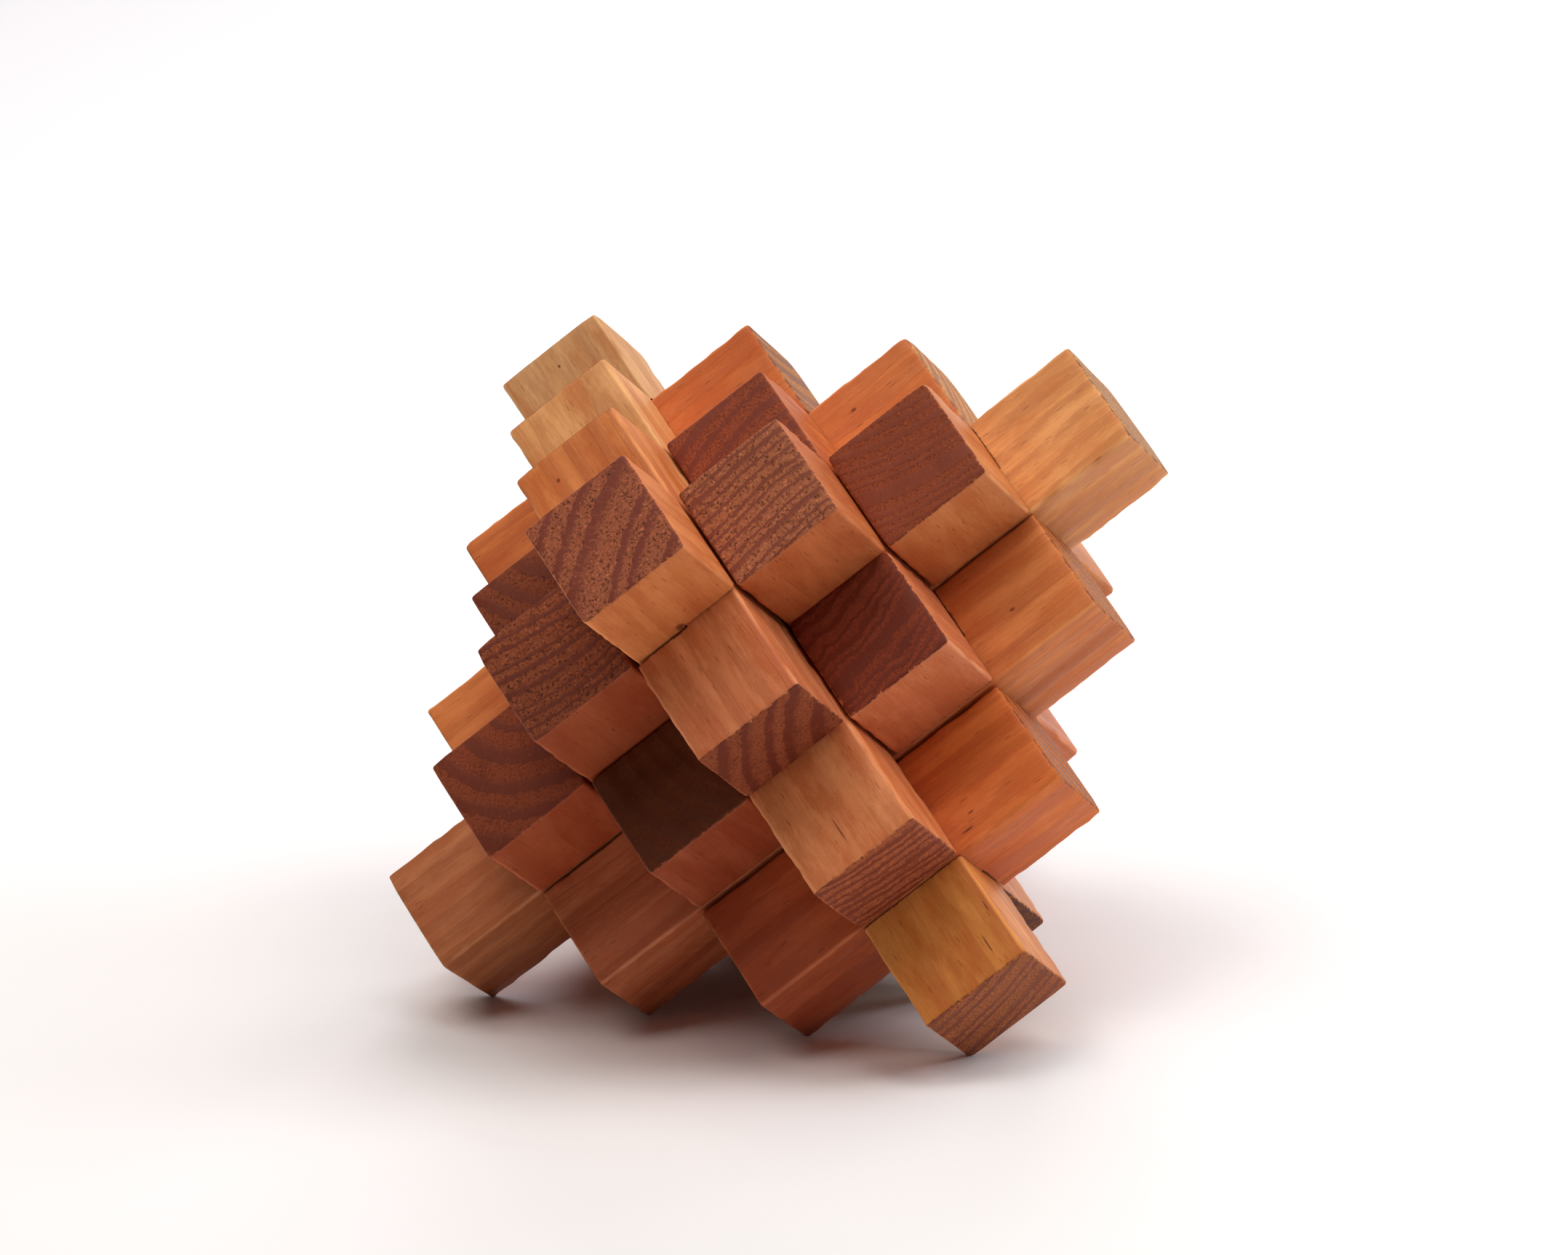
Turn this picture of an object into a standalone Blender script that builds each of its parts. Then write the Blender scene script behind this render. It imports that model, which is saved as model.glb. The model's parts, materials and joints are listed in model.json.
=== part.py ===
"""Wooden burr puzzle: nineteen square sticks that notch together into a stepped octahedron.

The puzzle is a lattice of cells, one stick wide each. Three families of sticks run along its
axes u, v and w, and every cell is filled whose indices add up to REACH or less, signs ignored.
Where two sticks share a cell, each is notched to half its thickness, so the notches are hidden.
"""
import math

import bmesh
import bpy
from mathutils import Matrix, Vector

# Driving sizes, in metres
PITCH = 0.0193          # from one stick's centre line to its neighbour's
GAP = 0.0003            # clearance left between neighbouring faces
ARRIS = 0.0007          # rounding on every sawn edge
ARRIS_SEGMENTS = 2
REACH = 3               # cells from the centre to the tip of a longest stick
KEY_SLOT_CELLS = 1      # how many cells longer the key's notch is than the stick it crosses

SECTION = PITCH - GAP   # side of a stick's square section
OVERCUT = 0.002         # how far a cutter runs past the wood it cuts

U, V, W = 0, 1, 2       # u climbs to the right, v to the left, w towards the front
PLUS, MINUS = 1, -1

# Stains, as linear colour; the same bought stick takes the varnish differently each time
STAINS = {
    "honey_pine": (0.50, 0.25, 0.10),
    "orange_pine": (0.42, 0.15, 0.045),
    "red_pine": (0.33, 0.10, 0.035),
    "brown_pine": (0.22, 0.085, 0.035),
}


def clear_scene():
    for item in list(bpy.data.objects):
        bpy.data.objects.remove(item, do_unlink=True)


def make_stains():
    """One varnished wood material for each stain."""
    materials = {}
    for name, colour in STAINS.items():
        material = bpy.data.materials.new(name)
        material.use_nodes = True
        shader = material.node_tree.nodes["Principled BSDF"]
        shader.inputs["Base Color"].default_value = (*colour, 1.0)
        shader.inputs["Roughness"].default_value = 0.5
        shader.inputs["Metallic"].default_value = 0.0
        materials[name] = material
    return materials


def puzzle_axes():
    """Empty at the puzzle's centre whose X, Y and Z are u, v and w, all climbing equally."""
    axes = bpy.data.objects.new("puzzle_axes", None)
    axes.rotation_euler = Matrix((
        (1 / math.sqrt(2), -1 / math.sqrt(2), 0),
        (1 / math.sqrt(6), 1 / math.sqrt(6), -2 / math.sqrt(6)),
        (1 / math.sqrt(3), 1 / math.sqrt(3), 1 / math.sqrt(3)),
    )).to_euler()
    bpy.context.collection.objects.link(axes)
    return axes


def box(name, low, high, rounding=0.0):
    """Box between two corners, its edges rounded if a rounding is given."""
    mesh = bpy.data.meshes.new(name)
    shape = bmesh.new()
    bmesh.ops.create_cube(shape, size=1.0)
    bmesh.ops.scale(shape, vec=high - low, verts=shape.verts)
    bmesh.ops.translate(shape, vec=(low + high) / 2, verts=shape.verts)
    if rounding:
        bmesh.ops.bevel(
            shape,
            geom=shape.edges[:],
            offset=rounding,
            segments=ARRIS_SEGMENTS,
            profile=0.5,
            affect="EDGES",
        )
    shape.to_mesh(mesh)
    shape.free()
    item = bpy.data.objects.new(name, mesh)
    bpy.context.collection.objects.link(item)
    return item


def blank(name, axis, reach):
    """A stick before it is notched, lying along its axis with its middle at the origin."""
    high = Vector([SECTION / 2] * 3)
    high[axis] += reach * PITCH
    return box(name, -high, high, ARRIS)


def notch(stick, axis, cells, side_axis, side):
    """Cut away the half of the stick that faces one side, from the first to the last cell."""
    first, last = cells
    low = Vector([-SECTION / 2 - OVERCUT] * 3)
    high = -low
    low[axis] = (first - 0.5) * PITCH - GAP / 2
    high[axis] = (last + 0.5) * PITCH + GAP / 2
    if side == PLUS:
        low[side_axis] = -GAP / 2
    else:
        high[side_axis] = GAP / 2
    cutter = box("cutter", low, high)
    cut = stick.modifiers.new("notch", "BOOLEAN")
    cut.operation = "DIFFERENCE"
    cut.solver = "EXACT"
    cut.object = cutter
    with bpy.context.temp_override(object=stick, active_object=stick):
        bpy.ops.object.modifier_apply(modifier=cut.name)
    bpy.data.objects.remove(cutter, do_unlink=True)


def place(stick, axes, cell, stain):
    """Set a notched stick in its cell of the lattice and stain it."""
    stick.parent = axes
    stick.location = Vector(cell) * PITCH
    stick.data.materials.append(stain)


def right_stick(name, across, axes, stain):
    """Stick along u, in the middle layer of the lattice, a number of cells across in v."""
    stick = blank(name, U, REACH - abs(across))
    notch(stick, U, (0, 0), W, MINUS)
    if across == 0:
        notch(stick, U, (-2, 2), V, PLUS)
    if abs(across) == 1:
        for cell in (-1, 1):
            notch(stick, U, (cell, cell), V, -across)
    place(stick, axes, (0, across, 0), stain)
    return stick


def left_stick(name, up, axes, stain):
    """Stick along v, on the middle line of the lattice, a number of cells up in w."""
    stick = blank(name, V, REACH - abs(up))
    notch(stick, V, (0, 0), U, MINUS)
    if up == 0:
        notch(stick, V, (-2, 2), W, PLUS)
    place(stick, axes, (0, 0, up), stain)
    return stick


def front_stick(name, cell, axes, stain, slot_cells=0):
    """Stick along w, in its cell of the u-v plane; the key's notch is longer by slot_cells."""
    u, v = cell
    stick = blank(name, W, REACH - abs(u) - abs(v))
    if v == 0:
        notch(stick, W, (-slot_cells, 0), V, MINUS)
    else:
        notch(stick, W, (0, 0), V, v)
    if u == 0 and v == 0:
        notch(stick, W, (-2, 2), U, PLUS)
    place(stick, axes, (u, v, 0), stain)
    return stick


def stand_on_floor(axes, sticks):
    """Raise the puzzle until its lowest corners touch the floor."""
    bpy.context.view_layer.update()
    lowest = min((stick.matrix_world @ vertex.co).z for stick in sticks for vertex in stick.data.vertices)
    axes.location.z = -lowest


clear_scene()
stains = make_stains()
axes = puzzle_axes()

right_family = [
    right_stick("right_short_upper", 2, axes, stains["orange_pine"]),
    right_stick("right_mid_upper", 1, axes, stains["orange_pine"]),
    right_stick("right_long", 0, axes, stains["orange_pine"]),
    right_stick("right_mid_lower", -1, axes, stains["orange_pine"]),
    right_stick("right_short_lower", -2, axes, stains["red_pine"]),
]
left_family = [
    left_stick("left_short_front", 2, axes, stains["honey_pine"]),
    left_stick("left_mid_front", 1, axes, stains["honey_pine"]),
    left_stick("left_long", 0, axes, stains["honey_pine"]),
    left_stick("left_mid_back", -1, axes, stains["honey_pine"]),
    left_stick("left_short_back", -2, axes, stains["orange_pine"]),
]
front_family = [
    front_stick("front_long", (0, 0), axes, stains["orange_pine"]),
    front_stick("key_stick", (1, 0), axes, stains["orange_pine"], KEY_SLOT_CELLS),
    front_stick("front_mid_left", (-1, 0), axes, stains["honey_pine"]),
    front_stick("front_short_right", (2, 0), axes, stains["orange_pine"]),
    front_stick("front_short_left", (-2, 0), axes, stains["honey_pine"]),
    front_stick("front_corner_top", (1, 1), axes, stains["orange_pine"]),
    front_stick("front_corner_right", (1, -1), axes, stains["red_pine"]),
    front_stick("front_corner_left", (-1, 1), axes, stains["honey_pine"]),
    front_stick("front_corner_bottom", (-1, -1), axes, stains["brown_pine"]),
]
stand_on_floor(axes, right_family + left_family + front_family)
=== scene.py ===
import json
import math

import bmesh
import bpy
from mathutils import Euler, Matrix, Vector


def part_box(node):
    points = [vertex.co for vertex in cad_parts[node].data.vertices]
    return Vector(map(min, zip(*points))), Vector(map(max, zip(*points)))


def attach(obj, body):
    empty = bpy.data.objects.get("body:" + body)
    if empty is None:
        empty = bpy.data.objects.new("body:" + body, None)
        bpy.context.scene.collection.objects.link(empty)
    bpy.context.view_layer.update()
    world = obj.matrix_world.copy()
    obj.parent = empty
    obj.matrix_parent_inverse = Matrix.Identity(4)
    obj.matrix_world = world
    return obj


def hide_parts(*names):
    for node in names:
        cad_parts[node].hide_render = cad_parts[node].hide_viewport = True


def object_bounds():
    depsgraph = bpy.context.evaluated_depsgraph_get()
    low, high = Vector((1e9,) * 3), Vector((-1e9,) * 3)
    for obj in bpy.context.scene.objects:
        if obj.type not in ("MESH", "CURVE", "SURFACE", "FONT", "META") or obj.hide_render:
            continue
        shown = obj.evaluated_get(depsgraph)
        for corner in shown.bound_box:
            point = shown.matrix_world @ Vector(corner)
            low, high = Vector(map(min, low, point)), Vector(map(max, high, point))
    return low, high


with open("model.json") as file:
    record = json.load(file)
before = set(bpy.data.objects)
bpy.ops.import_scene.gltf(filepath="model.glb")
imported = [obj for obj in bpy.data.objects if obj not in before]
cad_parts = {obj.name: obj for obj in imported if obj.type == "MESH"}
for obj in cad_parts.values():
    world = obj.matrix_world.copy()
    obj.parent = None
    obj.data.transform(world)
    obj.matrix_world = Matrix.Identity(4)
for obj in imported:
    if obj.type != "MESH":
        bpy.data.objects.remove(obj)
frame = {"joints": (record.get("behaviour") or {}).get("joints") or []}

cad_low, cad_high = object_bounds()


# ---- The long right stick ----
# The puzzle is a lattice of square pine sticks in three directions, u, v and w, which all climb at
# the same angle. This is the longest stick along u. Each stick is sawn from planed strip, sanded
# round on its edges, notched by a saw where another crosses it, and dipped in varnish stain.
MM = 0.001
KEY_SLIDE = frame["joints"][0]
PITCH = KEY_SLIDE["range_m"][1]                # the key slides by exactly one cell
W_AXIS = Vector(KEY_SLIDE["axis"])
U_AXIS = Matrix.Rotation(math.radians(120), 3, "Z") @ W_AXIS
V_AXIS = Matrix.Rotation(math.radians(-120), 3, "Z") @ W_AXIS
AXES = {"u": U_AXIS, "v": V_AXIS, "w": W_AXIS}
CROSS_AXES = {"u": "vw", "v": "wu", "w": "uv"}  # a stick's own Y and Z, in right-handed order
SECTION = 19.0 * MM                            # planed 19 mm strip
SAW_KERF = 0.3 * MM                            # play between a notch and the stick in it
LONG_ARRIS = 0.70 * MM                         # sanded rounding along the grain
END_ARRIS = 0.5 * MM                           # crisper rounding round the sawn ends
GRAIN_STEP = 1.25 * MM                         # mesh spacing along a stick, fine enough for dents
CROSS_CUTS = 6                                 # mesh cuts across each face
NEAR = 0.001 * MM                              # closer than this counts as on the spot
RIPPLE_SPACING = 11 * MM                       # sanding ripple on the faces
RIPPLE_DEPTH = 0.22 * MM
DENT_SPACING = 2.6 * MM                        # knocks along the rounded edges
DENT_DEPTH = 0.55 * MM
ARRIS_REACH = 1.2 * LONG_ARRIS                 # how far in from an edge the knocks reach
WEAR_AND_SHINE_GAIN = 1.6                                # makes the middle of a rounded edge fully worn and fully lit by the painted highlight
SMOOTH_BELOW = math.radians(35)                # sharper edges than this stay crisp


def deselect_all():
    bpy.ops.object.select_all(action="DESELECT")


def stick_turn(axis):
    """Rotation that takes a stick's own X along the grain and its Y and Z across it."""
    across = CROSS_AXES[axis]
    return Matrix((AXES[axis], AXES[across[0]], AXES[across[1]])).transposed()


def node_centre(node):
    low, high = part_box(node)
    return (low + high) / 2


def select_edges(item, wanted):
    """In edit mode, select the edges that a test on their two ends passes."""
    mesh = bmesh.from_edit_mesh(item.data)
    bpy.ops.mesh.select_all(action="DESELECT")
    for edge in mesh.edges:
        edge.select = wanted(edge.verts[0].co, edge.verts[1].co)
    mesh.select_flush_mode()
    bmesh.update_edit_mesh(item.data)


def sawn_blank(name, half_length, proud):
    """A square strip lying along X, cut to length, with its long and end edges sanded round.

    proud is how far the two ends stand past their true length, minus end first.
    """
    deselect_all()
    low_end = -half_length - proud[0]
    high_end = half_length + proud[1]
    bpy.ops.mesh.primitive_cube_add(size=1, location=((low_end + high_end) / 2, 0, 0))
    stick = bpy.context.active_object
    stick.name = name
    stick.scale = (high_end - low_end, SECTION, SECTION)
    bpy.ops.object.transform_apply(location=True, rotation=True, scale=True)
    bpy.ops.object.mode_set(mode="EDIT")
    bpy.ops.mesh.select_mode(type="EDGE")
    grain_cuts = round((high_end - low_end) / GRAIN_STEP)
    for along, cuts in ((0, grain_cuts), (1, CROSS_CUTS), (2, CROSS_CUTS)):
        select_edges(stick, lambda a, b: abs(a[along] - b[along]) > NEAR)
        bpy.ops.mesh.subdivide(number_cuts=cuts)
    rim = SECTION / 2 - NEAR

    def on_corner(point):
        return abs(point.y) > rim and abs(point.z) > rim

    def round_the_end(point):
        """On the outline of one of the two sawn ends, rounded corners included."""
        if low_end + NEAR <= point.x <= high_end - NEAR:
            return False
        in_corner = Vector((abs(point.y), abs(point.z))) - Vector((rim, rim))
        in_corner += Vector((LONG_ARRIS, LONG_ARRIS))
        on_face = max(abs(point.y), abs(point.z)) > rim
        return on_face or (min(in_corner) > 0 and in_corner.length > LONG_ARRIS - 10 * NEAR)

    select_edges(stick, lambda a, b: on_corner(a) and on_corner(b))
    bpy.ops.mesh.bevel(offset=LONG_ARRIS, segments=4, profile=0.5, affect="EDGES")
    select_edges(stick, lambda a, b: round_the_end(a) and round_the_end(b))
    bpy.ops.mesh.bevel(offset=END_ARRIS, segments=3, profile=0.5, affect="EDGES")
    bpy.ops.object.mode_set(mode="OBJECT")
    return stick


def put_in_place(stick, centre, turn):
    """Turn and move a finished blank into the lattice and leave that in its mesh."""
    stick.matrix_world = Matrix.Translation(centre) @ turn.to_4x4()
    bpy.ops.object.transform_apply(location=True, rotation=True, scale=True)


def apply_modifier(item, kind, **settings):
    """Add a modifier, set it and apply it at once."""
    modifier = item.modifiers.new(kind.lower(), kind)
    for key, value in settings.items():
        setattr(modifier, key, value)
    bpy.context.view_layer.objects.active = item
    bpy.ops.object.modifier_apply(modifier=modifier.name)


def near_arris(point, reach):
    """How far a point in the stick's own axes is into the corner square of side reach, 0 to 1."""
    inner = SECTION / 2 - reach
    return max(0.0, min(1.0, (min(abs(point.y), abs(point.z)) - inner) / reach))


def wear(stick, centre, turn):
    """Hand sanding leaves the faces rippled by a tenth of a millimetre and the arrises dented."""
    ripple = bpy.data.textures.new("sanding_ripple", "CLOUDS")
    ripple.noise_scale = RIPPLE_SPACING
    apply_modifier(stick, "DISPLACE", texture=ripple, strength=RIPPLE_DEPTH, texture_coords="LOCAL")
    arris = stick.vertex_groups.new(name="arris")
    own = turn.inverted()
    points = stick.data.vertices
    on_arris = [v.index for v in points if near_arris(own @ (v.co - centre), ARRIS_REACH)]
    arris.add(on_arris, 1.0, "REPLACE")
    dents = bpy.data.textures.new("arris_dents", "CLOUDS")
    dents.noise_scale = DENT_SPACING
    apply_modifier(
        stick,
        "DISPLACE",
        texture=dents,
        strength=DENT_DEPTH,
        mid_level=0.6,
        texture_coords="LOCAL",
        vertex_group="arris",
    )


def cut_notch(stick, centre, axis, notch):
    """Saw away half the stick's thickness across some cells: (first cell, last cell, "v", -1)."""
    first, last, side_axis, side = notch
    along = "uvw".index(axis)
    deep = "uvw".index(side_axis)
    size = 2 * SECTION * Vector((1, 1, 1))
    size[along] = (last - first + 1) * PITCH + SAW_KERF
    offset = Vector((0, 0, 0))
    offset[along] = (first + last) / 2 * PITCH
    offset[deep] = side * (SECTION - SAW_KERF / 2)
    lattice = Matrix((U_AXIS, V_AXIS, W_AXIS)).transposed().to_4x4()
    deselect_all()
    bpy.ops.mesh.primitive_cube_add(size=1)
    cutter = bpy.context.active_object
    in_stick = Matrix.Translation(offset) @ Matrix.Diagonal((*size, 1))
    cutter.matrix_world = Matrix.Translation(centre) @ lattice @ in_stick
    apply_modifier(stick, "BOOLEAN", object=cutter, operation="DIFFERENCE", solver="EXACT")
    bpy.data.objects.remove(cutter, do_unlink=True)


def mark_surface(stick, centre, turn):
    """Store how far each point faces along the grain, and how far it lies on a worn edge, which
    also gets a painted highlight.

    Hands only reach a stick's outermost cells, and there only the edges that turn away from the
    puzzle's middle, because its neighbours cover the rest.
    """
    own = turn.inverted()
    points = stick.data.vertices
    end_grain = stick.data.attributes.new("end_grain", "FLOAT", "POINT")
    end_grain.data.foreach_set("value", [abs((own @ v.normal).x) for v in points])
    beside = own @ (centre - (cad_low + cad_high) / 2) / PITCH
    places = [own @ (v.co - centre) for v in points]
    inmost = max(place.x for place in places) - PITCH

    def edge_wear_and_shine(place):
        outwards = min(place.y * round(beside.y), place.z * round(beside.z)) >= 0
        if abs(place.x) < inmost or not outwards:
            return 0.0
        return min(1.0, WEAR_AND_SHINE_GAIN * near_arris(place, LONG_ARRIS))

    worn_lit_edge = stick.data.attributes.new("worn_lit_edge", "FLOAT", "POINT")
    worn_lit_edge.data.foreach_set("value", [edge_wear_and_shine(place) for place in places])


def linear(hex_colour):
    """An sRGB hex colour as linear RGBA."""
    channels = [int(hex_colour[i:i + 2], 16) / 255 for i in (0, 2, 4)]
    return (*[c / 12.92 if c <= 0.04045 else ((c + 0.055) / 1.055) ** 2.4 for c in channels], 1.0)


def stained(colour, red, green, blue):
    """A linear colour with more or less stain in it."""
    return (min(colour[0] * red, 1.0), min(colour[1] * green, 1.0), min(colour[2] * blue, 1.0), 1.0)


def add_node(tree, kind, inputs=None, **settings):
    """Add a node with its settings, then give each input a value or link a socket to it."""
    item = tree.nodes.new("ShaderNode" + kind)
    for key, value in settings.items():
        setattr(item, key, value)
    for key, value in (inputs or {}).items():
        if isinstance(value, bpy.types.NodeSocket):
            tree.links.new(value, item.inputs[key])
        else:
            item.inputs[key].default_value = value
    return item


def varnished_pine(
    name, centre, turn, seed, ring_mm, pith_mm, face, end, thinner=(1, 1, 1),
    late_share=0.5, bands=0.3, streaks=0.3, clouds=0.7, end_bands=1.0, end_rough=0.6, kink_mm=0.6,
    marks=(),
):
    """Pine dipped in a brown spirit stain and varnished satin.

    Growth rings are tubes round the pith, which lies pith_mm from the stick's middle, so they
    show as bands on the sawn end and as long streaks on the planed faces. face and end are the
    early wood's colours there; the dense late wood, late_share of each ring, is darker by bands
    and end_bands. kink_mm is how far the rings buckle. clouds and streaks are how blotchy and how
    streaky the stain lies. thinner multiplies red, green and blue towards the plus end.
    The ends soak up stain: their early wood is torn and speckled by end_rough, their
    late wood dark and smooth. marks are pin knots, fine cracks and a torn chip, all drawn as dark
    spots, (X, Y, Z, length, width) in the stick's own millimetres.
    """
    face_early = linear(face)
    face_late = stained(face_early, 0.60, 0.44, 0.38)
    face_warm = stained(face_early, 0.84, 0.66, 0.58)
    face_pale = stained(face_early, 1.18, 1.28, 1.40)
    # Paler still for the worn edges, which also carry a painted highlight
    face_rubbed_highlight = stained(face_early, 1.45, 1.80, 2.10)
    face_dark_mark = stained(face_early, 0.14, 0.07, 0.05)
    end_early = linear(end)
    end_late = stained(end_early, 0.42, 0.32, 0.38)
    end_pore = stained(end_early, 0.16, 0.11, 0.11)
    end_pale = stained(end_early, 1.70, 1.95, 2.00)

    material = bpy.data.materials.new(name)
    material.use_nodes = True
    tree = material.node_tree
    shader = tree.nodes["Principled BSDF"]

    def vector(operation, *values):
        return add_node(tree, "VectorMath", dict(enumerate(values)), operation=operation).outputs[0]

    def number(operation, *values):
        return add_node(tree, "Math", dict(enumerate(values)), operation=operation).outputs[0]

    def step(value, low, high):
        """0 at low, 1 at high, eased in between."""
        inputs = {"Value": value, "From Min": low, "From Max": high}
        return add_node(tree, "MapRange", inputs, interpolation_type="SMOOTHSTEP").outputs[0]

    def blend(factor, first, second):
        return add_node(tree, "Mix", {0: factor, 6: first, 7: second}, data_type="RGBA").outputs[2]

    def noise(place, per_mm, detail=2.0, roughness=0.5):
        """Noise whose features are about 1 / per_mm millimetres long in the stick's X, Y and Z."""
        inputs = {"Vector": vector("MULTIPLY", place, per_mm), "Scale": 1.0, "Detail": detail}
        return add_node(tree, "TexNoise", {**inputs, "Roughness": roughness})

    # The stick's own millimetres, X along it
    stick_axes = {
        "Vector": add_node(tree, "TexCoord").outputs["Object"],
        "Location": centre,
        "Rotation": turn.to_euler(),
        "Scale": (MM, MM, MM),
    }
    own = add_node(tree, "Mapping", stick_axes, vector_type="TEXTURE").outputs[0]
    # The same, moved to a far-off part of the noise that no other stick has
    seeded = vector("ADD", own, (61.7 * seed, 17.3 * seed, 29.1 * seed))
    grit = noise(seeded, (1.2, 2.4, 2.4), 4.0, 0.8).outputs[0]

    # Rings: years of growth out from a pith line that leans, wanders slowly and kinks a little
    lean = (0, math.radians(1.3 * math.sin(seed)), math.radians(1.5 * math.cos(2 * seed)))
    grain = add_node(tree, "Mapping", {"Vector": own, "Rotation": lean}).outputs[0]
    wander_mm = 5
    middle_mm = (wander_mm + kink_mm) / 2          # both noises run from 0 to 1
    to_pith = (0, -pith_mm[0] - middle_mm, -pith_mm[1] - middle_mm)
    from_pith = vector("MULTIPLY_ADD", grain, (0, 1, 1), to_pith)
    wander = noise(seeded, (0.012, 0.03, 0.03)).outputs["Color"]
    from_pith = vector("MULTIPLY_ADD", wander, (0, wander_mm, wander_mm), from_pith)
    kink = noise(seeded, (0.05, 0.2, 0.2)).outputs["Color"]
    from_pith = vector("MULTIPLY_ADD", kink, (0, kink_mm, kink_mm), from_pith)
    radius = add_node(tree, "VectorMath", {0: from_pith}, operation="LENGTH").outputs["Value"]
    ragged = noise(seeded, (0.1, 0.9, 0.9)).outputs[0]
    years = number("MULTIPLY_ADD", ragged, 0.35, number("MULTIPLY", radius, 1 / ring_mm))
    years = number("MULTIPLY_ADD", grit, 0.16, years)
    # Good and bad years: some rings wide, some narrow
    slow = {"W": years, "Scale": 0.45, "Detail": 1.0}
    weather = add_node(tree, "TexNoise", slow, noise_dimensions="1D").outputs[0]
    year = number("FRACT", number("MULTIPLY_ADD", weather, 1.4, years))
    # Late wood comes on slowly and stops short at the winter line
    comes_on = step(year, 0.84 - late_share, 1.16 - late_share)
    late = number("MULTIPLY", comes_on, step(year, 1.0, 0.92))
    early = number("SUBTRACT", 1.0, late)

    # Planed faces: rings, cloudy stain, lengthwise streaks, fine fibres and short resin canals
    cloud = noise(seeded, (0.07, 0.22, 0.22), 5.0, 0.62).outputs[0]
    streak = noise(seeded, (0.012, 0.24, 0.24), 4.0, 0.55).outputs[0]
    fibre = noise(seeded, (0.12, 3.6, 3.6), 3.0, 0.75).outputs[0]
    planed = blend(number("MULTIPLY", late, bands), face_early, face_late)
    planed = blend(number("MULTIPLY", step(cloud, 0.46, 0.62), clouds), planed, face_warm)
    planed = blend(number("MULTIPLY", step(cloud, 0.48, 0.32), 0.8 * clouds), planed, face_pale)
    planed = blend(number("MULTIPLY", step(streak, 0.49, 0.64), streaks), planed, face_late)
    planed = blend(number("MULTIPLY", step(fibre, 0.50, 0.70), 0.32), planed, face_late)
    planed = blend(number("MULTIPLY", step(fibre, 0.46, 0.30), 0.25), planed, face_pale)
    drawn_out = vector("MULTIPLY", seeded, (0.26, 2.2, 2.2))
    canals = add_node(tree, "TexVoronoi", {"Vector": drawn_out, "Scale": 1.0})
    slit = step(canals.outputs["Distance"], 0.26, 0.12)
    chance = add_node(tree, "SeparateColor", {0: canals.outputs["Color"]}).outputs[0]
    canal = number("MULTIPLY", slit, step(chance, 0.80, 0.84))
    planed = blend(number("MULTIPLY", canal, 0.5), planed, face_dark_mark)
    # Fine mottling, then the stain rubbed off the worn edges, made paler still as a painted
    # highlight along them
    planed = blend(number("MULTIPLY", step(grit, 0.52, 0.66), 0.22), planed, face_warm)
    planed = blend(number("MULTIPLY", step(grit, 0.46, 0.34), 0.22), planed, face_pale)
    worn_lit_edge = add_node(tree, "Attribute", attribute_name="worn_lit_edge").outputs["Fac"]
    rub_and_sheen_noise = noise(seeded, (0.12, 0.5, 0.5)).outputs[0]
    rubbed_and_lit = number("MULTIPLY", worn_lit_edge, step(rub_and_sheen_noise, 0.30, 0.60))
    planed = blend(number("MULTIPLY", rubbed_and_lit, 0.65), planed, face_rubbed_highlight)
    for *place, length, width in marks:
        per_mm = (2 / length, 2 / width, 2 / width)
        off_mark = vector("MULTIPLY", vector("SUBTRACT", own, place), per_mm)
        away = add_node(tree, "VectorMath", {0: off_mark}, operation="LENGTH").outputs["Value"]
        spot = step(number("MULTIPLY_ADD", grit, 1.2, away), 1.7, 1.0)
        planed = blend(number("MULTIPLY", spot, 0.8), planed, face_dark_mark)
    # The colour is scaled towards the plus end, across the middle three cells
    along = add_node(tree, "SeparateXYZ", {0: own}).outputs[0]
    fade_mm = 1.5 * PITCH / MM                # millimetres to each side of the middle
    toward_plus_end = {0: step(along, -fade_mm, fade_mm), 6: planed, 7: (*thinner, 1)}
    planed = add_node(tree, "Mix", toward_plus_end, data_type="RGBA", blend_type="MULTIPLY").outputs[2]

    # Sawn ends: rays across the rings, dark pores, torn fibres and dust caught in the varnish
    to_rays = (-math.atan2(pith_mm[1], pith_mm[0]), 0, 0)
    across_rings = add_node(tree, "Mapping", {"Vector": seeded, "Rotation": to_rays}).outputs[0]
    ray = noise(across_rings, (0.1, 0.5, 4.5), 2.0).outputs[0]
    smudge = noise(seeded, (0.1, 0.16, 0.16), 2.0).outputs[0]
    roughness = number("MULTIPLY", early, end_rough)
    pores = number("MULTIPLY", step(grit, 0.54, 0.62), roughness)
    torn = number("MULTIPLY", step(grit, 0.49, 0.38), roughness)
    sawn = blend(number("MULTIPLY", late, end_bands), end_early, end_late)
    sawn = blend(number("MULTIPLY", step(smudge, 0.50, 0.75), 0.4), sawn, end_late)
    sawn = blend(number("MULTIPLY", step(ray, 0.54, 0.70), 0.12), sawn, end_pale)
    sawn = blend(pores, sawn, end_pore)
    sawn = blend(number("MULTIPLY", torn, 0.8), sawn, end_pale)
    dust = add_node(tree, "TexVoronoi", {"Vector": seeded, "Scale": 1.3})
    luck = add_node(tree, "SeparateColor", {0: dust.outputs["Color"]}).outputs[1]
    grain_of_dust = step(dust.outputs["Distance"], 0.17, 0.08)
    speck = number("MULTIPLY", grain_of_dust, step(luck, 0.74, 0.76))
    sawn = blend(number("MULTIPLY", speck, 0.8), sawn, end_pale)
    planed = blend(number("MULTIPLY", speck, 0.45), planed, face_pale)

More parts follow.
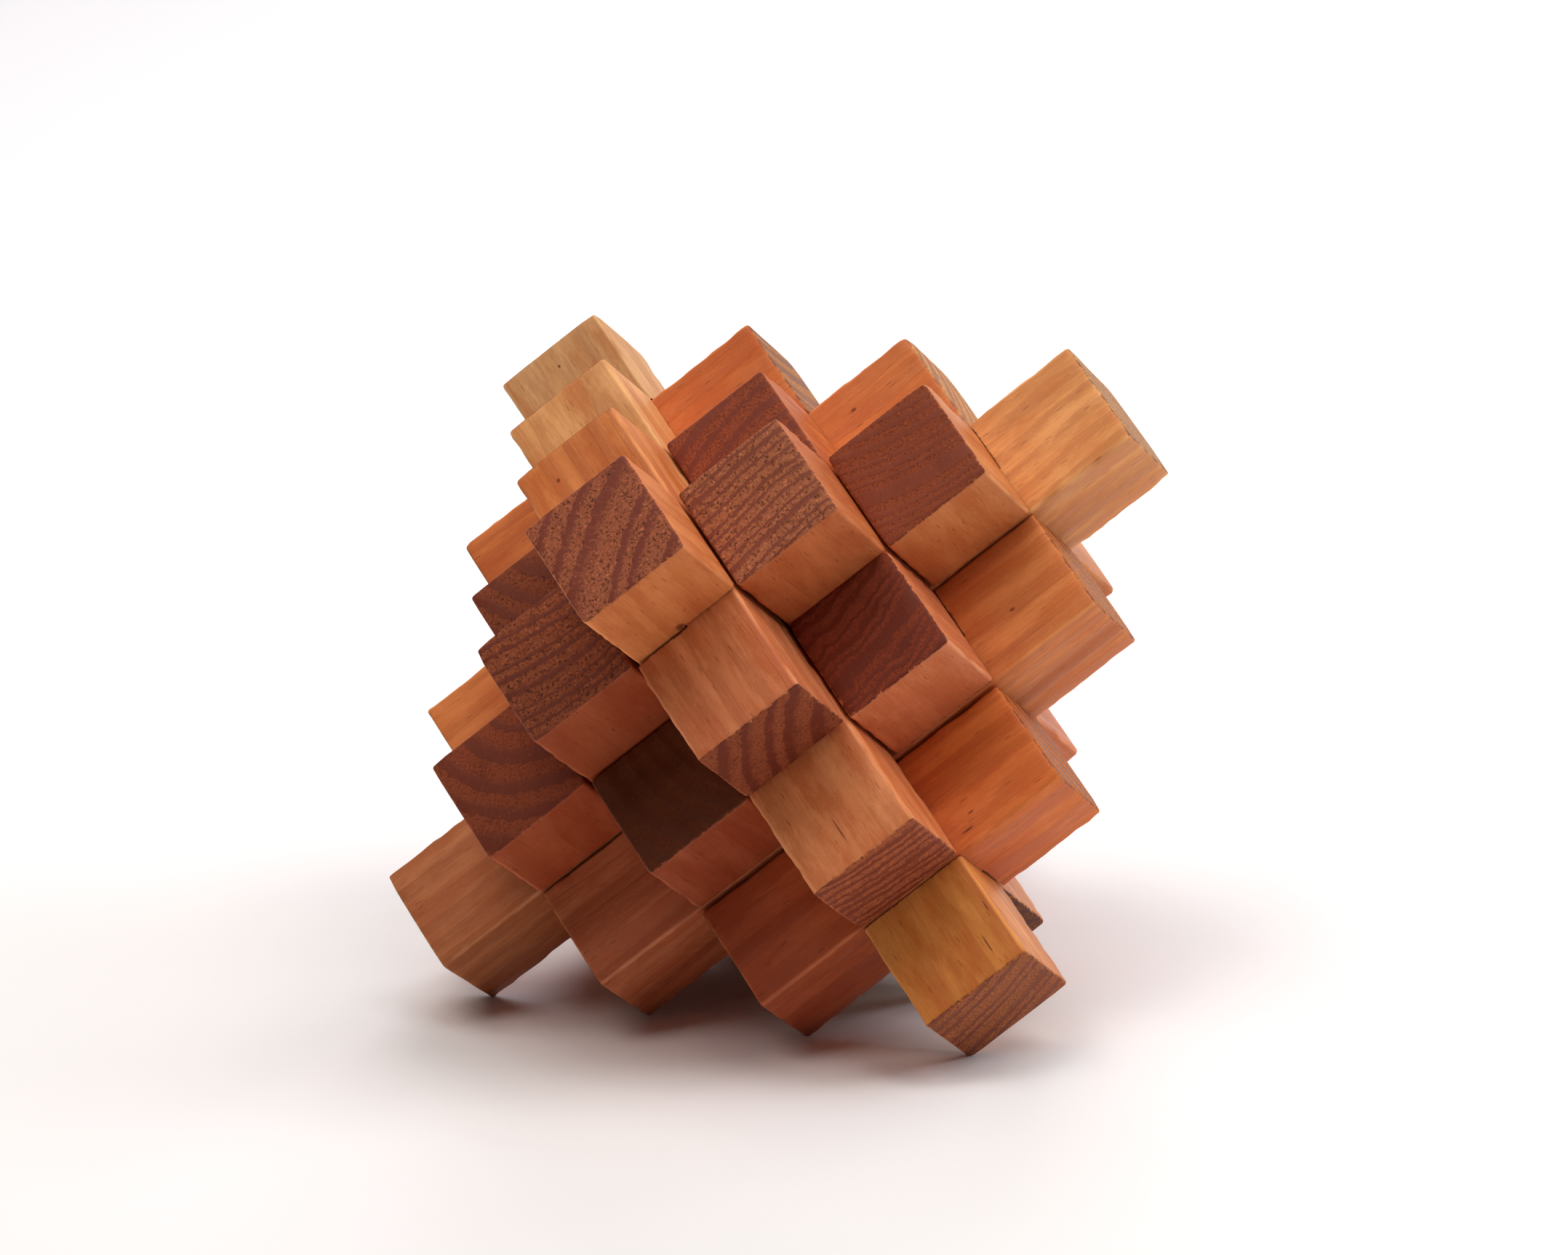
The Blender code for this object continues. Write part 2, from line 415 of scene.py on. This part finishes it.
    # The end's dark stain stops raggedly at its rim
    faces_along = add_node(tree, "Attribute", attribute_name="end_grain").outputs["Fac"]
    creep = noise(seeded, (1.1, 1.1, 1.1), 4.0, 0.7).outputs[0]
    sides = add_node(tree, "SeparateXYZ", {0: vector("ABSOLUTE", own)}).outputs
    rim = number("SUBTRACT", SECTION / 2 / MM, number("MAXIMUM", sides[1], sides[2]))
    in_from_rim = step(number("MULTIPLY_ADD", creep, 2.0, rim), 0.90, 1.20)
    over_edge = step(number("MULTIPLY_ADD", creep, 0.6, faces_along), 0.75, 0.95)
    on_end = number("MULTIPLY", in_from_rim, over_edge)

    relief = number("MULTIPLY", on_end, number("MULTIPLY_ADD", pores, -2.2, torn))
    height = number("MULTIPLY_ADD", fibre, 0.25, number("MULTIPLY_ADD", late, 0.35, relief))
    relief_depth = 0.14 * MM
    bump = add_node(tree, "Bump", {"Height": height, "Strength": 0.9, "Distance": relief_depth})
    rough = number("MULTIPLY_ADD", early, 0.16, number("MULTIPLY_ADD", cloud, 0.16, 0.36))
    tree.links.new(blend(on_end, planed, sawn), shader.inputs["Base Color"])
    tree.links.new(number("MULTIPLY_ADD", on_end, 0.12, rough), shader.inputs["Roughness"])
    shader.inputs["Specular IOR Level"].default_value = 0.22   # satin, as it has soaked in
    tree.links.new(bump.outputs[0], shader.inputs["Normal"])
    return material


def make_stick(node, axis, reach, notches, seat=(0, 0), proud=(0, 0), **wood):
    """Saw, wear, notch, mark and varnish one stick, in its CAD node's place.

    reach is how many cells it runs to each side of its middle, seat how far it sits off its
    cells' middle in its own Y and Z, and proud how far its two ends stand out, in millimetres.
    """
    turn = stick_turn(axis)
    true_centre = node_centre(node)
    centre = true_centre + turn @ Vector((0, seat[0] * MM, seat[1] * MM))
    half_length = (reach + 0.5) * PITCH - SAW_KERF / 2
    stick = sawn_blank(node + "_wood", half_length, [p * MM for p in proud])
    put_in_place(stick, centre, turn)
    wear(stick, centre, turn)
    for notch in notches:
        cut_notch(stick, true_centre, axis, notch)
    deselect_all()
    stick.select_set(True)
    bpy.context.view_layer.objects.active = stick
    bpy.ops.object.shade_smooth_by_angle(angle=SMOOTH_BELOW)
    mark_surface(stick, centre, turn)
    stick.data.materials.clear()
    stick.data.materials.append(varnished_pine(node + "_pine", centre, turn, **wood))
    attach(stick, "key" if node == "key_stick" else "burr")
    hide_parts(node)


make_stick(
    "right_long", "u", 3, [(-2, 2, "v", 1), (0, 0, "w", -1)], seat=(0, 0.1), proud=(0.2, 0.25),
    seed=1, ring_mm=3.4, pith_mm=(-30, 18), bands=0.5, streaks=0.4,
    face="C2794C", thinner=(1.55, 1.93, 1.71), end="D6985D",
)


# ---- The other right sticks ----
# Two five-cell sticks lie beside the long one and two three-cell sticks beside them, all along u in
# the middle layer. Each passes over the long left stick, and the mid ones hook two corner sticks.
make_stick(
    "right_mid_upper", "u", 2, [(0, 0, "w", -1), (-1, -1, "v", -1), (1, 1, "v", -1)],
    seed=2, ring_mm=3.1, pith_mm=(24, 30), bands=0.3, streaks=0.3, face="DE8346", end="DD995C",
    marks=[(34.8, 4.6, 9.5, 1.4, 0.7)],
)
make_stick(
    "right_mid_lower", "u", 2, [(0, 0, "w", -1), (-1, -1, "v", 1), (1, 1, "v", 1)],
    seat=(0.1, 0.05), proud=(0, 0.3), seed=3, ring_mm=4.0, pith_mm=(-20, 34), bands=0.35,
    streaks=0.7, face="C47148", thinner=(1.34, 1.51, 1.11), end="D37C34",
    marks=[(37.3, -1.6, 9.5, 1.2, 0.7)],
)
make_stick(
    "right_short_upper", "u", 1, [(0, 0, "w", -1)], seat=(0.2, -0.12), seed=4, ring_mm=3.6,
    pith_mm=(40, 8), bands=0.3, streaks=0.4, face="D5783D", end="C1814D",
)
make_stick(
    "right_short_lower", "u", 1, [(0, 0, "w", -1)], seat=(-0.15, 0), seed=5, ring_mm=4.6,
    pith_mm=(28, -26), bands=0.35, streaks=0.5,
    face="AF5733", thinner=(1.67, 1.99, 1.26), end="D0722B",
    marks=[(12.6, -7.1, 9.5, 2.6, 0.5), (14.5, -5.0, 9.5, 1.3, 0.4)],
)


# ---- The left sticks ----
# Five sticks along v, one above the other in the middle of the puzzle, with their ends stepping
# down the front as a spine. All but the longest are notched only for the long front stick.
make_stick(
    "left_long", "v", 3, [(-2, 2, "w", 1), (0, 0, "u", -1)], seat=(-0.1, 0.08), proud=(0.25, 0),
    seed=6, ring_mm=3.0, late_share=0.42, pith_mm=(45, -17), bands=0.3, streaks=0.2, clouds=1.0,
    end_rough=0.8, face="D4843E", thinner=(0.95, 1.40, 2.67), end="BA683C",
    marks=[(-63.0, 9.5, 5.3, 4.4, 0.35), (-57.7, 9.5, 8.3, 2.5, 0.3), (63.4, 9.5, 0.0, 0.8, 0.6)],
)
make_stick(
    "left_mid_front", "v", 2, [(0, 0, "u", -1)], seat=(-0.08, 0), proud=(0.15, 0), seed=7,
    ring_mm=2.1, late_share=0.52, pith_mm=(44, 10), bands=0.3, streaks=0.2, clouds=1.0, kink_mm=2.5,
    face="DD8752", thinner=(1.03, 1.40, 1.41), end="BB623C",
    marks=[(-42.3, 9.5, -0.8, 6.0, 0.3)],
)
make_stick(
    "left_short_front", "v", 1, [(0, 0, "u", -1)], seat=(0.05, -0.25), seed=8, ring_mm=4.3,
    pith_mm=(-22, 50), bands=0.4, streaks=0.3, clouds=1.0,
    face="D47F50", thinner=(1.04, 1.09, 0.77), end="A2502D",
    marks=[(24.0, 9.5, -3.7, 0.9, 0.7)],
)
make_stick(
    "left_mid_back", "v", 2, [(0, 0, "u", -1)], seed=9, ring_mm=3.3, pith_mm=(22, 30),
    face="D8884E", end="8E5438",
)
make_stick(
    "left_short_back", "v", 1, [(0, 0, "u", -1)], seed=10, ring_mm=3.0, pith_mm=(-34, 12),
    face="D07840", end="8E5438",
)


# ---- The front sticks ----
# Eight of the nine sticks along w, which stand in a diamond round the long one with their sawn
# ends facing the front. The ninth is the key stick.
# front_long's mark is a dark spot where a chip is torn from its lower edge; the chip itself is not
# cut
make_stick(
    "front_long", "w", 3, [(-2, 2, "u", 1), (0, 0, "v", -1)], seat=(0.05, 0.1), seed=11,
    ring_mm=3.9, late_share=0.42, pith_mm=(42, -50), bands=0.2, streaks=0.15, end_rough=0.9,
    face="D67F47", end="B56342", marks=[(48.9, -0.7, -9.4, 2.6, 1.8)],
)
make_stick(
    "front_mid_left", "w", 2, [(0, 0, "v", -1)], seat=(-0.2, 0.1), proud=(0, 0.3), seed=12,
    ring_mm=2.3, late_share=0.38, pith_mm=(5, 60), bands=0.2, streaks=0.15, end_rough=1.0,
    face="A6522F", end="A25432",
)
make_stick(
    "front_short_right", "w", 1, [(0, 0, "v", -1)], seat=(0.2, -0.1), seed=13, ring_mm=2.1,
    pith_mm=(12, 60), bands=0.25, end_bands=0.5, streaks=0.2, end_rough=0.35,
    face="D18149", end="984A2B",
)
make_stick(
    "front_short_left", "w", 1, [(0, 0, "v", -1)], seat=(-0.2, -0.1), seed=14, ring_mm=4.6,
    pith_mm=(13, 14), bands=0.2, end_bands=0.8, streaks=0.15, end_rough=0.4,
    face="AD5531", end="954728",
)
make_stick(
    "front_corner_top", "w", 1, [(0, 0, "v", 1)], seed=15, ring_mm=3.0, pith_mm=(17, -55),
    bands=0.3, end_bands=0.75, streaks=0.2, end_rough=0.4, face="C66F39", end="A05033",
)
make_stick(
    "front_corner_right", "w", 1, [(0, 0, "v", -1)], seat=(0.15, 0.3), seed=16, ring_mm=2.1,
    pith_mm=(-15, 60), bands=0.25, streaks=0.15, kink_mm=3.0, end_bands=0.7,
    end_rough=0.3, face="D68052", end="8B3D23",
)
make_stick(
    "front_corner_left", "w", 1, [(0, 0, "v", 1)], seed=17, ring_mm=3.8, pith_mm=(12, 15),
    bands=0.2, end_bands=0.8, streaks=0.15, face="B45C32", end="964C2E",
)
make_stick(
    "front_corner_bottom", "w", 1, [(0, 0, "v", -1)], seat=(0.1, 0.1), seed=18, ring_mm=3.4,
    pith_mm=(30, 10), bands=0.2, end_bands=0.4, streaks=0.15, end_rough=0.2,
    face="A14F2E", end="663012",
)


# ---- The key stick ----
# The one stick that can move first: its notch is a cell longer than the stick it crosses, so it
# slides out along w by one cell. The longer notch stays hidden behind its neighbour.
make_stick(
    "key_stick", "w", 2, [(-1, 0, "v", -1)], seat=(0.1, 0.05), seed=19,
    ring_mm=1.9, late_share=0.42, pith_mm=(8, -80), bands=0.25, streaks=0.15, end_rough=1.0,
    face="C8703E", end="BD6F4A",
)


# ---- Floor, light and camera ----
# White seamless paper lit by a ring of round soft boxes, brightest on the right and from behind,
# so that the faces low on the left fall into shadow.
deselect_all()
FLOOR_SIZE = 8                                 # metres, past every edge of the view
bpy.ops.mesh.primitive_plane_add(size=FLOOR_SIZE, location=(0, 0, 0))
floor = bpy.context.active_object
floor.name = "floor"
paper = bpy.data.materials.new("white_paper")
paper.use_nodes = True
paper_shader = paper.node_tree.nodes["Principled BSDF"]
paper_shader.inputs["Base Color"].default_value = linear("F7F7F8")
paper_shader.inputs["Roughness"].default_value = 0.9
floor.data.materials.append(paper)

world = bpy.data.worlds.new("dim_room")
world.use_nodes = True
room = world.node_tree.nodes["Background"]
room.inputs["Color"].default_value = linear("EEF4FF")
room.inputs["Strength"].default_value = 0.05
bpy.context.scene.world = world

LIGHT_SIZE = 0.6                               # metres across
LIGHT_AWAY = 1.2
middle = (cad_low + cad_high) / 2
for name, azimuth, elevation, watts, colour in (     # azimuth anticlockwise from the right
    ("softbox_right", 22, 35, 4.3, "FBF9FF"),
    ("softbox_right_high", 0, 62, 4.0, "FFF6EC"),
    ("softbox_back", 112, 35, 4.7, "FFFAFF"),
    ("softbox_back_low", 70, 12, 4.0, "F6FFFA"),
    ("softbox_top", 0, 88, 3.3, "F4FFFF"),
    ("softbox_left_high", 180, 62, 2.9, "FFF6EC"),
    ("softbox_front_high", 240, 62, 3.8, "FFEBE4"),
):
    turn = Euler((0, math.radians(-elevation), math.radians(azimuth))).to_matrix()
    away = turn @ Vector((1, 0, 0))
    light = bpy.data.lights.new(name, "AREA")
    light.shape = "DISK"
    light.size = LIGHT_SIZE
    light.energy = watts
    light.color = linear(colour)[:3]
    lamp = bpy.data.objects.new(name, light)
    bpy.context.collection.objects.link(lamp)
    lamp.location = middle + away * LIGHT_AWAY
    lamp.rotation_euler = away.to_track_quat("Z", "Y").to_euler()

AIM = middle + Vector((0.0003, 0.0027, 0.0073))
DISTANCE = 1.057                               # metres from the lens to the aim
LENS_MM = 155.5
SENSOR_MM = 36
AZIMUTH = math.radians(26.3)                   # round to the right from straight in front
ELEVATION = math.radians(17.67)
ROLL = math.radians(-3.06)
back = Matrix.Rotation(AZIMUTH, 3, "Z") @ Matrix.Rotation(-ELEVATION, 3, "X") @ Vector((0, -1, 0))
camera = bpy.data.cameras.new("camera")
camera.sensor_width = SENSOR_MM
camera.lens = LENS_MM
camera_item = bpy.data.objects.new("camera", camera)
bpy.context.collection.objects.link(camera_item)
camera_item.location = AIM + back * DISTANCE
upright = back.to_track_quat("Z", "Y").to_matrix()
camera_item.rotation_euler = (upright @ Matrix.Rotation(ROLL, 3, "Z")).to_euler()
bpy.context.scene.camera = camera_item
bpy.context.scene.view_settings.view_transform = "Standard"
